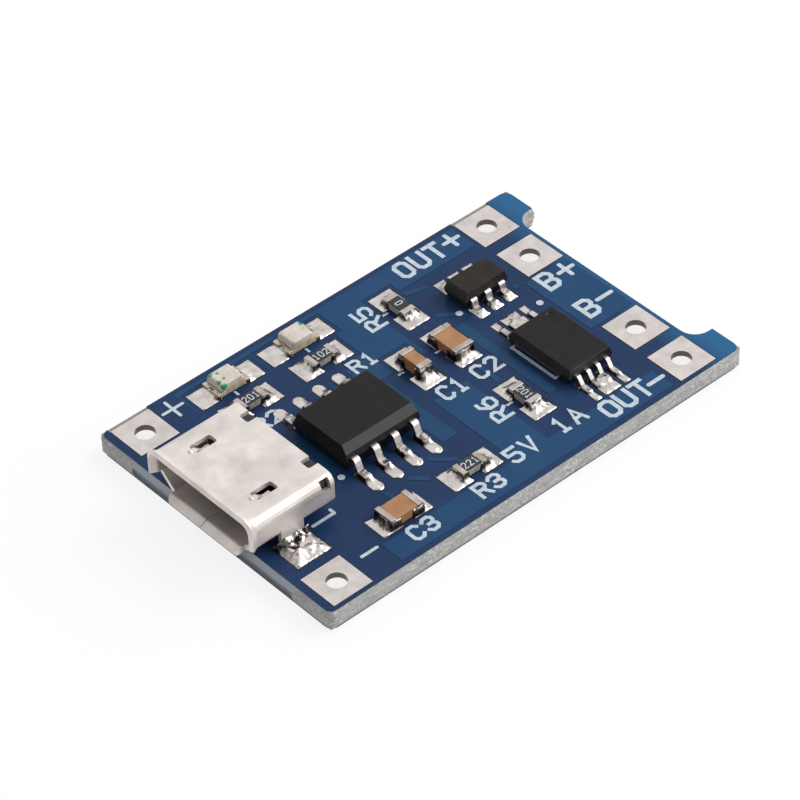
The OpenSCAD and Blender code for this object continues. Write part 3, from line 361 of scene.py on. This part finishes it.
def dabbed(tree, colour):
    """The lens colour with small uneven dabs of green."""
    ragged = ranged(tree, grain(tree, 0.14), 0.3, 0.7, -0.25, 0.25)
    for name, dabs in DABS.items():
        low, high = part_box(name)
        for share, radius in dabs:
            spot = [low[i] + (high[i] - low[i]) * share[i] for i in range(3)]
            away = add(tree, "ShaderNodeVectorMath", {0: place(tree), 1: spot}, operation="DISTANCE").outputs["Value"]
            depth = ranged(tree, away, 0.0, radius * MM, 1.0, 0.0)
            uneven = add(tree, "ShaderNodeMath", {0: depth, 1: ragged}, operation="ADD").outputs[0]
            colour = blend(tree, ranged(tree, uneven, 0.26, 0.4), colour, rgb("2f9e6a"))
    return colour


def lamp_lens():
    """Milky resin that lets a little light through."""
    material, tree, shader = finish("lamp_lens", "c2b8aa", "d8d0c6", 0.6, (0.22, 0.34), 0.004)
    plain = shader.inputs["Base Color"].links[0].from_socket
    plug(tree, shader, "Base Color", dabbed(tree, plain))
    plug(tree, shader, "Subsurface Weight", 0.35)
    plug(tree, shader, "Subsurface Radius", (0.3 * MM, 0.25 * MM, 0.18 * MM))
    return material


def lamp_base():
    return finish("lamp_base", "b39d7c", "d2c2a8", 0.3, (0.45, 0.65), 0.006)[0]


MATERIALS = {
    "fibreglass": fibreglass(),
    "copper": metal("copper", "a8683f", "c98a5c", (0.25, 0.4)),
    "lacquer": lacquer(),
    "print": white_print(),
    "tinned_land": tinned_land(),
    "shell_plate": shell_plate(),
    "black_plastic": black_plastic(),
    "contact_metal": metal("contact_metal", "b8964f", "d8bb78", (0.2, 0.32)),
    "solder": solder(),
    "chip_mould": chip_mould(),
    "tinned_lead": metal("tinned_lead", "aba6a2", "d2cdc9", (0.22, 0.36), size=0.4, depth=0.004),
    "ceramic_block": ceramic_block(),
    "dark_glaze": dark_glaze(),
    "end_metal": metal("end_metal", "a89d97", "cfc6c0", (0.3, 0.42), size=0.5, depth=0.002),
    "capacitor_ceramic": capacitor_ceramic(),
    "lamp_base": lamp_base(),
    "lamp_lens": lamp_lens(),
    "lamp_metal": metal("lamp_metal", "b5a58c", "dacfbc", (0.22, 0.36), size=0.4, depth=0.003),
}


SLOTS = {part["node"]: part["material_slot"] for part in frame["record"]["subparts"]}

# The six-lead chip is a browner resin than the other two
VARIANTS = {"protector_chip": chip_mould("chip_mould_brown", "1d1916", "28231f")}


def dress_nodes():
    """Gives every CAD node its finish."""
    for name, obj in NODES.items():
        for holder in obj.material_slots:
            holder.material = VARIANTS.get(name) or MATERIALS[SLOTS[name]]


# Nodes whose edges are rounded, with the radius in millimetres
ROUNDED = {
    "usb_shell": 0.04, "usb_housing": 0.04, "charger_chip": 0.03, "protector_chip": 0.025,
    "switch_chip": 0.025, "charger_leads": 0.03, "protector_leads": 0.02, "switch_leads": 0.02,
    "board_core": 0.03,
}
CHIP_ROUNDS = {"body": 0.035, "lens": 0.11}


def soften(obj, radius):
    """Rounds a node's edges by modifiers alone, with hardened normals."""
    weld = obj.modifiers.new("weld", "WELD")
    weld.merge_threshold = 0.0005 * MM
    flat = obj.modifiers.new("flat", "DECIMATE")
    flat.decimate_type = "DISSOLVE"
    flat.angle_limit = math.radians(1.0)
    bevel = obj.modifiers.new("bevel", "BEVEL")
    bevel.width = radius * MM
    bevel.segments = 2
    bevel.limit_method = "ANGLE"
    bevel.angle_limit = math.radians(28.0)
    bevel.harden_normals = True
    bevel.use_clamp_overlap = True


def soften_nodes():
    for name, obj in NODES.items():
        if name in ROUNDED:
            soften(obj, ROUNDED[name])
        elif name.startswith(("r", "c1", "c2", "c3", "led")):
            soften(obj, CHIP_ROUNDS.get(name.split("_")[1], 0.02))


def islands(obj):
    """Boxes in millimetres, (low, high), of the separate pieces of a node."""
    mesh = bmesh.new()
    mesh.from_mesh(obj.data)
    bmesh.ops.remove_doubles(mesh, verts=mesh.verts, dist=0.0005 * MM)
    left = set(mesh.verts)
    boxes = []
    while left:
        queue = [left.pop()]
        piece = []
        while queue:
            vert = queue.pop()
            piece.append(vert.co / MM)
            for edge in vert.link_edges:
                other = edge.other_vert(vert)
                if other in left:
                    left.remove(other)
                    queue.append(other)
        low = Vector([min(p[i] for p in piece) for i in range(3)])
        high = Vector([max(p[i] for p in piece) for i in range(3)])
        boxes.append((low, high))
    mesh.free()
    return sorted(boxes, key=lambda box: (round(box[0].x, 3), round(box[0].y, 3)))


def meets(a, b):
    """Whether two boxes overlap in plan."""
    return all(a[0][i] < b[1][i] and b[0][i] < a[1][i] for i in (0, 1))


def inside_distance(x, y, box, corner):
    """How far inside a box with rounded corners a point lies, negative outside."""
    dx = abs(x - (box[0].x + box[1].x) / 2) - (box[1].x - box[0].x) / 2 + corner
    dy = abs(y - (box[0].y + box[1].y) / 2) - (box[1].y - box[0].y) / 2 + corner
    outside = math.hypot(max(dx, 0.0), max(dy, 0.0))
    return corner - outside - min(max(dx, dy), 0.0)


def outside_distance(x, y, box):
    """How far outside a box a point lies in plan, 0 within it."""
    dx = max(box[0].x - x, x - box[1].x, 0.0)
    dy = max(box[0].y - y, y - box[1].y, 0.0)
    return math.hypot(dx, dy)


CELL = 0.035
FILM = 0.03


def wetted(land, corner, height):
    """Points and faces of a solder skin over one land: height(x, y, edge) in millimetres."""
    count_x = max(2, round((land[1].x - land[0].x) / CELL))
    count_y = max(2, round((land[1].y - land[0].y) / CELL))
    step_x = (land[1].x - land[0].x) / count_x
    step_y = (land[1].y - land[0].y) / count_y
    points = []
    index = {}
    for i in range(count_x + 1):
        for j in range(count_y + 1):
            x = land[0].x + i * step_x
            y = land[0].y + j * step_y
            edge = inside_distance(x, y, land, corner)
            if edge < -CELL:
                continue
            if edge < 0.3 * CELL:
                ahead = inside_distance(x + 0.001, y, land, corner) - edge
                beside = inside_distance(x, y + 0.001, land, corner) - edge
                length = max(math.hypot(ahead, beside), 1e-6)
                x -= edge * ahead / length
                y -= edge * beside / length
                edge = 0.0
            index[i, j] = len(points)
            points.append((x * MM, y * MM, (BOARD_TOP + height(x, y, edge)) * MM))
    faces = []
    for i in range(count_x):
        for j in range(count_y):
            corners = [(i, j), (i + 1, j), (i + 1, j + 1), (i, j + 1)]
            kept = [index[c] for c in corners if c in index]
            if len(kept) > 2:
                faces.append(kept)
    return points, faces


def lumps(x, y, size):
    """Smooth unevenness from -1 to 1, of a size in millimetres."""
    return noise.noise(Vector((x / size, y / size, 0.7)))


def fillet(x, y, edge, box, high, hollow):
    """Height of solder that climbs from a land's edge up to a box."""
    away = outside_distance(x, y, box)
    share = edge / max(edge + away, 1e-6)
    skin = FILM * min(1.0, math.sqrt(max(edge, 0.0) / 0.1))
    rise = (high - FILM) * share ** hollow
    uneven = 1.0 + 0.14 * lumps(x, y, 0.45)
    return skin + rise * uneven


def skin_object(name, patches, node):
    """One object of several solder skins, in place of a CAD node."""
    points = []
    faces = []
    for patch_points, patch_faces in patches:
        start = len(points)
        points += patch_points
        faces += [[start + i for i in face] for face in patch_faces]
    mesh = bpy.data.meshes.new(name)
    mesh.from_pydata(points, [], faces)
    mesh.polygons.foreach_set("use_smooth", [True] * len(mesh.polygons))
    mesh.materials.append(MATERIALS["solder"])
    obj = bpy.data.objects.new(name, mesh)
    bpy.context.scene.collection.objects.link(obj)
    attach(obj, "root")
    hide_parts(node)


# Two-ended chips, with the share of their height that the solder climbs
TWO_ENDED = {"r1_ends": 0.85, "r2_ends": 0.85, "r3_ends": 0.85, "r5_ends": 0.85, "r6_ends": 0.85,
             "c1_ends": 0.7, "c2_ends": 0.8, "c3_ends": 0.8, "led1_ends": 0.9, "led2_ends": 0.9}


def chip_solder():
    """Hollow slopes from each land up the metal ends of the two-ended chips."""
    patches = []
    for name, climb in TWO_ENDED.items():
        low, high = (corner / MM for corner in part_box(name))
        box = (low, high)
        top = (high.z - BOARD_TOP) * climb
        for land in LANDS:
            if meets(land, box):
                patches.append(wetted(land, 0.12, lambda x, y, edge: fillet(x, y, edge, box, top, 2.6)))
    skin_object("chip_fillets", patches, "chip_solder")


# Length of a lead's foot, corner of its land and height of the solder over the foot
FEET = {"charger": (0.6, 0.3, 0.24), "protector": (0.36, 0.12, 0.16), "switch": (0.55, 0.12, 0.15)}


def foot_of(lead, middle, length):
    """The flat end of a lead, farthest from its chip's middle."""
    low, high = lead[0].copy(), lead[1].copy()
    if low.y > middle:
        low.y = high.y - length
    else:
        high.y = low.y + length
    return low, high


def lead_solder(chip):
    """Rounded solder over the feet of a chip's leads."""
    length, corner, high = FEET[chip]
    low_corner, high_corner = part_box(chip + "_chip")
    middle = (low_corner.y + high_corner.y) / 2 / MM
    feet = [foot_of(lead, middle, length) for lead in islands(NODES[chip + "_leads"])]
    patches = []
    for land in LANDS:
        near = [foot for foot in feet if meets(land, foot)]
        if near:
            patches.append(wetted(land, corner, lambda x, y, edge: max(
                fillet(x, y, edge, foot, high, 1.3) for foot in near)))
    skin_object(chip + "_fillets", patches, chip + "_solder")


def leg_height(x, y, edge, wall, high):
    """Lumpy solder against a leg of the socket."""
    away = abs(abs(y) - wall)
    share = edge / max(edge + away, 1e-6)
    uneven = 1.0 + 0.5 * lumps(x, y, 0.5) + 0.15 * lumps(x, y, 0.25)
    return FILM * min(1.0, math.sqrt(max(edge, 0.0) / 0.1)) + (high - FILM) * share ** 1.2 * uneven


def socket_solder():
    """Solder over the socket's two legs and its five contacts."""
    low, high = (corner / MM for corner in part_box("usb_shell"))
    contacts = islands(NODES["usb_contacts"])
    patches = []
    for land in LANDS:
        middle_y = (land[0].y + land[1].y) / 2
        tails = [tail for tail in contacts if meets(land, tail)]
        if tails:
            patches.append(wetted(land, 0.1, lambda x, y, edge: fillet(
                x, y, edge, (Vector((tails[0][1].x - 0.6, tails[0][0].y, 0)), tails[0][1]), 0.15, 1.3)))
        elif abs(middle_y) > 4.0 and land[0].x < -10.0 and abs(middle_y) < 5.0:
            patches.append(wetted(land, 0.2, lambda x, y, edge: leg_height(x, y, edge, SHELL_WALL, 0.55)))
    skin_object("socket_fillets", patches, "usb_solder")


LANDS = islands(NODES["component_lands"])
SHELL_WALL = 3.75

# Strokes of the print's letters on a grid 4 wide and 6 high
GLYPHS = {
    "O": [[(1, 0), (3, 0), (4, 1), (4, 5), (3, 6), (1, 6), (0, 5), (0, 1), (1, 0)]],
    "U": [[(0, 6), (0, 1), (1, 0), (3, 0), (4, 1), (4, 6)]],
    "T": [[(0, 6), (4, 6)], [(2, 6), (2, 0)]],
    "B": [[(0, 0), (0, 6), (3, 6), (4, 5), (4, 4), (3, 3), (4, 2), (4, 1), (3, 0), (0, 0)], [(0, 3), (3, 3)]],
    "C": [[(4, 5), (3, 6), (1, 6), (0, 5), (0, 1), (1, 0), (3, 0), (4, 1)]],
    "R": [[(0, 0), (0, 6), (3, 6), (4, 5), (4, 4), (3, 3)], [(0.4, 3), (3, 3)], [(2.2, 3), (4, 0)]],
    "A": [[(0, 0), (2, 6), (4, 0)], [(0.7, 2), (3.3, 2)]],
    "V": [[(0, 6), (2, 0), (4, 6)]],
    "0": [[(1, 0), (3, 0), (4, 1), (4, 5), (3, 6), (1, 6), (0, 5), (0, 1), (1, 0)]],
    "1": [[(1, 5), (2, 6), (2, 0)], [(1, 0), (3, 0)]],
    "2": [[(0, 5), (1, 6), (3, 6), (4, 5), (4, 4), (0, 0), (4, 0)]],
    "3": [[(0, 5), (1, 6), (3, 6), (4, 5), (4, 4), (3, 3), (1.5, 3)],
          [(3, 3), (4, 2), (4, 1), (3, 0), (1, 0), (0, 1)]],
    "5": [[(4, 6), (0, 6), (0, 3.5), (3, 3.5), (4, 2.5), (4, 1), (3, 0), (1, 0), (0, 1)]],
    "6": [[(3.6, 6), (2, 6), (0, 3.6), (0, 1), (1, 0), (3, 0), (4, 1), (4, 2.5), (3, 3.5)],
          [(0.4, 3.5), (3, 3.5)]],
    " ": [],
}


# Each further line of a letter lies this much higher, so that no two tops share a level
LINE_STEP = 0.003


def ribbon(mesh, path, width, z, thick):
    """A flat stroke along a path, mitred at its corners, as a low prism."""
    closed = path[0] == path[-1]
    points = [Vector(p) for p in (path[:-1] if closed else path)]
    count = len(points)
    left, right = [], []
    for k, point in enumerate(points):
        before = (point - points[k - 1]).normalized() if closed or k > 0 else None
        after = (points[(k + 1) % count] - point).normalized() if closed or k < count - 1 else None
        along = ((before or after) + (after or before)).normalized()
        side = Vector((-along.y, along.x))
        square = side.dot(Vector((-(after or before).y, (after or before).x)))
        reach = side * width / 2 / max(square, 0.5)
        end = Vector((0.0, 0.0)) if before and after else along * width / 2
        shift = end if not after else -end
        left.append(point + reach + shift)
        right.append(point - reach + shift)
    low = [[mesh.verts.new((p.x * MM, p.y * MM, z * MM)) for p in row] for row in (left, right)]
    high = [[mesh.verts.new((p.x * MM, p.y * MM, (z + thick) * MM)) for p in row] for row in (left, right)]
    for k in range(count if closed else count - 1):
        n = (k + 1) % count
        mesh.faces.new((high[0][n], high[0][k], high[1][k], high[1][n]))
        mesh.faces.new((low[0][n], low[0][k], high[0][k], high[0][n]))
        mesh.faces.new((low[1][k], low[1][n], high[1][n], high[1][k]))
    if not closed:
        mesh.faces.new((low[0][0], low[1][0], high[1][0], high[0][0]))
        mesh.faces.new((low[1][-1], low[0][-1], high[0][-1], high[1][-1]))


def lettering(name, text, start, height, width, gap, stroke, turn=0.0, z=None, thick=0.018):
    """Printed words on the board from the lower left corner of the first letter."""
    mesh = bmesh.new()
    z = BOARD_TOP if z is None else z
    cos, sin = math.cos(math.radians(turn)), math.sin(math.radians(turn))
    span_x = width - stroke
    span_y = height - stroke
    for i, letter in enumerate(text):
        for level, line in enumerate(GLYPHS[letter]):
            path = []
            for gx, gy in line:
                x = stroke / 2 + i * (width + gap) + gx / 4.0 * span_x
                y = stroke / 2 + gy / 6.0 * span_y
                path.append((start[0] + x * cos - y * sin, start[1] + x * sin + y * cos))
            ribbon(mesh, path, stroke, z, thick + level * LINE_STEP)
    data = bpy.data.meshes.new(name)
    mesh.to_mesh(data)
    mesh.free()
    data.materials.append(MATERIALS["print"])
    obj = bpy.data.objects.new(name, data)
    bpy.context.scene.collection.objects.link(obj)
    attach(obj, "root")


# Name, words, lower left corner, turn in degrees, height, letter width, gap between letters, stroke
LABELS = [
    ("label_out_plus", "OUT", (4.98, 6.80), 0, 1.36, 0.94, 0.14, 0.24),
    ("label_b_plus", "B", (9.69, 1.02), 0, 1.45, 1.0, 0.1, 0.25),
    ("label_b_minus", "B", (9.69, -1.89), 0, 1.45, 1.0, 0.1, 0.25),
    ("label_out_minus", "OUT", (5.24, -8.06), 0, 1.34, 0.96, 0.1, 0.24),
    ("label_c1", "C1", (0.29, -1.51), 0, 1.17, 0.74, 0.12, 0.2),
    ("label_c2", "C2", (2.54, -1.51), 0, 1.15, 0.78, 0.14, 0.2),
    ("label_c3", "C3", (-7.46, -7.86), 0, 1.1, 0.78, 0.13, 0.2),
    ("label_r3", "R3", (-3.17, -7.86), 0, 1.1, 0.8, 0.12, 0.2),
    ("label_r1", "R1", (-1.6, 3.11), 0, 1.0, 0.74, 0.1, 0.18),
    ("label_r2", "R2", (-7.8, 3.11), 0, 1.0, 0.74, 0.1, 0.18),
    ("label_r5", "R5", (2.17, 4.91), 90, 1.15, 0.88, 0.14, 0.2),
    ("label_r6", "R6", (2.14, -4.43), 90, 1.15, 0.88, 0.14, 0.2),
    ("label_rating", "5V 1A", (-0.4, -7.16), 0, 1.18, 0.84, 0.2, 0.2),
]


# Value on each resistor, and its turn in degrees
VALUES = {"r1": ("102", 0), "r2": ("201", 0), "r3": ("221", 0), "r5": ("0", 90), "r6": ("201", 270)}
DIGIT = (0.46, 0.26, 0.07, 0.06)

# Short lines of the print: start and end in millimetres
TICKS = [((2.32, 5.54), (2.55, 5.54)), ((2.26, -3.71), (2.55, -3.71)), ((2.32, 1.6), (2.55, 1.6)),
         ((-0.12, 1.64), (0.14, 1.64)), ((-6.85, 6.08), (-6.85, 6.3)), ((-2.2, 6.08), (-2.2, 6.3)),
         ((5.33, -0.745), (5.6, -0.745)), ((5.33, -3.905), (5.6, -3.905))]
TICK_W = 0.13


def mark_object(name, paths, width, z, thick=0.012):
    """Printed lines at a height over the underside."""
    mesh = bmesh.new()
    for level, path in enumerate(paths):
        ribbon(mesh, path, width, z, thick + level * LINE_STEP)
    data = bpy.data.meshes.new(name)
    mesh.to_mesh(data)
    mesh.free()
    data.materials.append(MATERIALS["print"])
    obj = bpy.data.objects.new(name, data)
    bpy.context.scene.collection.objects.link(obj)
    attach(obj, "root")


def board_print():
    """Words beside the parts, values on the resistors and short lines."""
    for name, words, start, turn, height, width, gap, stroke in LABELS:
        lettering(name, words, start, height, width, gap, stroke, turn)
    mark_object("print_ticks", TICKS, TICK_W, BOARD_TOP)
    height, width, gap, stroke = DIGIT
    for chip, (words, turn) in VALUES.items():
        low, high = (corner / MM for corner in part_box(chip + "_coat"))
        half = (len(words) * (width + gap) - gap) / 2
        cos, sin = math.cos(math.radians(turn)), math.sin(math.radians(turn))
        along, up = Vector((cos, sin, 0)), Vector((-sin, cos, 0))
        start = (low + high) / 2 - along * half - up * height / 2
        lettering("value_" + chip, words, start, height, width, gap, stroke, turn, high.z, 0.004)


def studio_floor():
    """A white floor just under the board, with the board's shadow on it."""
    mesh = bpy.data.meshes.new("floor")
    half = 0.6
    mesh.from_pydata([(-half, -half, -0.02 * MM), (half, -half, -0.02 * MM), (half, half, -0.02 * MM),
                      (-half, half, -0.02 * MM)], [], [(0, 1, 2, 3)])
    floor = bpy.data.objects.new("floor", mesh)
    bpy.context.scene.collection.objects.link(floor)
    material, tree, shader = new_material("floor")
    plug(tree, shader, "Base Color", (0.9, 0.9, 0.9, 1.0))
    plug(tree, shader, "Roughness", 0.9)
    glow = add(tree, "ShaderNodeEmission", {"Color": (1.0, 1.0, 1.0, 1.0), "Strength": 1.0})
    path = add(tree, "ShaderNodeLightPath")
    seen = add(tree, "ShaderNodeMath", {0: path.outputs["Is Camera Ray"], 1: path.outputs["Is Glossy Ray"]},
               operation="MAXIMUM").outputs[0]
    share = ranged(tree, seen, 0.0, 1.0, 0.0, FLOOR_GLOW)
    mixed = add(tree, "ShaderNodeMixShader", {0: share, 1: shader.outputs[0], 2: glow.outputs[0]})
    tree.links.new(mixed.outputs[0], tree.nodes["Material Output"].inputs["Surface"])
    mesh.materials.append(material)


def area_light(name, toward, distance, size, power):
    """A soft square light in a direction from the board, in metres and watts."""
    data = bpy.data.lights.new(name, "AREA")
    data.size = size
    data.energy = power
    light = bpy.data.objects.new(name, data)
    direction = Vector(toward).normalized()
    light.location = direction * distance
    light.rotation_euler = direction.to_track_quat("Z", "Y").to_euler()
    bpy.context.scene.collection.objects.link(light)


def studio_light():
    """A pale room, one large soft light from the output end and one from the near side."""
    world = bpy.data.worlds.new("room")
    bpy.context.scene.world = world
    world.use_nodes = True
    tree = world.node_tree
    back = tree.nodes["Background"]
    path = add(tree, "ShaderNodeLightPath")
    sky = add(tree, "ShaderNodeTexCoord").outputs["Generated"]
    toward = add(tree, "ShaderNodeVectorMath", {0: sky, 1: camera_axes()[2]},
                 operation="DOT_PRODUCT").outputs["Value"]
    split = add(tree, "ShaderNodeSeparateXYZ", {"Vector": sky})
    front = ranged(tree, toward, 0.5, 0.9, ROOM_LIGHT, ROOM_DARK)
    level = ranged(tree, split.outputs["Z"], 0.0, 0.3, 0.6, 1.0)
    room = add(tree, "ShaderNodeMath", {0: front, 1: level}, operation="MULTIPLY").outputs[0]
    strength = add(tree, "ShaderNodeMix", {0: path.outputs["Is Camera Ray"], 2: room, 3: 1.0})
    plug(tree, back, "Color", (1.0, 1.0, 1.0, 1.0))
    plug(tree, back, "Strength", strength.outputs[0])
    area_light("key", KEY_FROM, 0.4, 0.24, KEY_POWER)
    area_light("side", SIDE_FROM, 0.4, 0.34, SIDE_POWER)


# Strength of the room: around the camera, and elsewhere
ROOM_DARK = 0.16
ROOM_LIGHT = 0.95
KEY_FROM = (0.85, -0.2, 0.75)
KEY_POWER = 0.9
SIDE_FROM = (0.48, -0.7, 0.5)
SIDE_POWER = 0.52
FLOOR_GLOW = 0.85


def main():
    dress_nodes()
    soften_nodes()
    chip_solder()
    for chip in FEET:
        lead_solder(chip)
    socket_solder()
    board_print()
    studio_floor()
    studio_light()
    make_camera()
    bpy.context.scene.view_settings.view_transform = "Standard"


main()
